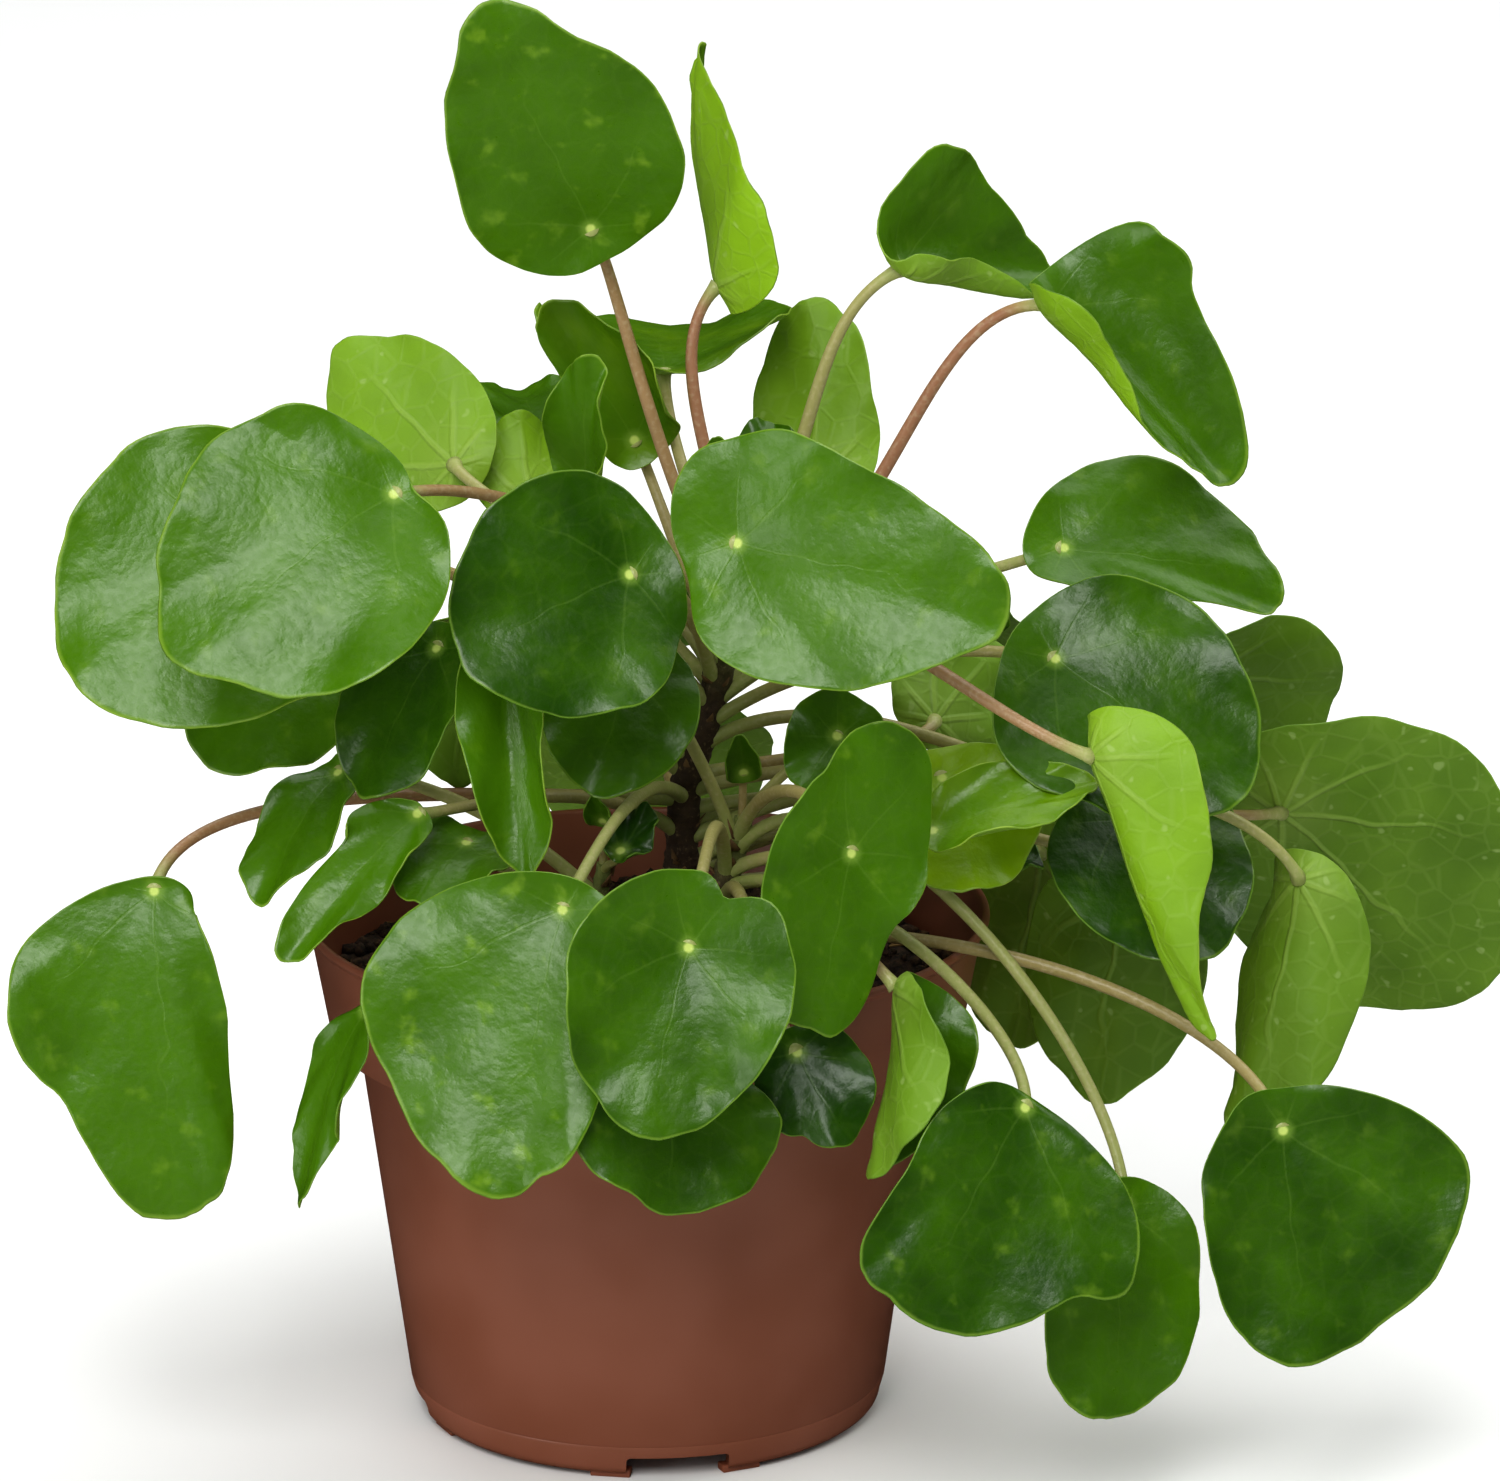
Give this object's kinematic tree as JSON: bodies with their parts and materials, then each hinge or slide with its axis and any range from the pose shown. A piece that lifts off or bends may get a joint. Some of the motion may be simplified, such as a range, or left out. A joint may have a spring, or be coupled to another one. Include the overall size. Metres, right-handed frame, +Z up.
{
  "type": "potted chinese money plant",
  "caption": "House plant in a plain round nursery pot: round shield-shaped leaves on long thin stalks that rise from a short woody stem and smaller shoots set in soil.",
  "frame": {"origin": "the middle of the whole plant's box on the surface that the pot stands on; the pot's axis is 25.0 mm to the left of it and 3.2 mm behind it", "axes": "+Z up, -Y towards the viewer of the picture, +X to the viewer's right"},
  "size_m": [0.2599, 0.1903, 0.2542],
  "materials": {
    "pot_plastic": "terracotta-brown moulded polypropylene, satin",
    "potting_soil": "dark crumbly potting soil",
    "stem_bark": "dark brown woody stem with leaf scars",
    "leaf_green": "smooth succulent leaf, half gloss, on a pale green to pink-brown stalk"
  },
  "bodies": {
    "root": {"leaf_01": "leaf_green", "leaf_02": "leaf_green", "leaf_03": "leaf_green", "leaf_04": "leaf_green", "leaf_05": "leaf_green", "leaf_06": "leaf_green", "leaf_07": "leaf_green", "leaf_08": "leaf_green", "leaf_09": "leaf_green", "leaf_10": "leaf_green", "leaf_11": "leaf_green", "leaf_12": "leaf_green", "leaf_13": "leaf_green", "leaf_14": "leaf_green", "leaf_15": "leaf_green", "leaf_16": "leaf_green", "leaf_17": "leaf_green", "leaf_18": "leaf_green", "leaf_20": "leaf_green", "leaf_21": "leaf_green", "leaf_22": "leaf_green", "leaf_23": "leaf_green", "leaf_24": "leaf_green", "leaf_25": "leaf_green", "leaf_26": "leaf_green", "leaf_27": "leaf_green", "leaf_28": "leaf_green", "leaf_29": "leaf_green", "leaf_30": "leaf_green", "leaf_31": "leaf_green", "leaf_32": "leaf_green", "leaf_33": "leaf_green", "leaf_34": "leaf_green", "leaf_35": "leaf_green", "leaf_36": "leaf_green", "leaf_37": "leaf_green", "leaf_38": "leaf_green", "leaf_39": "leaf_green", "leaf_40": "leaf_green", "leaf_41": "leaf_green", "leaf_42": "leaf_green", "leaf_43": "leaf_green", "leaf_44": "leaf_green", "leaf_45": "leaf_green", "leaf_46": "leaf_green", "leaf_47": "leaf_green", "leaf_48": "leaf_green", "leaf_49": "leaf_green", "leaf_50": "leaf_green", "leaf_51": "leaf_green", "leaf_52": "leaf_green", "leaf_53": "leaf_green", "leaf_54": "leaf_green", "leaf_55": "leaf_green", "leaf_56": "leaf_green", "offset": "stem_bark", "pot": "pot_plastic", "shoot": "stem_bark", "soil": "potting_soil", "trunk": "stem_bark"}
  },
  "joints": []
}
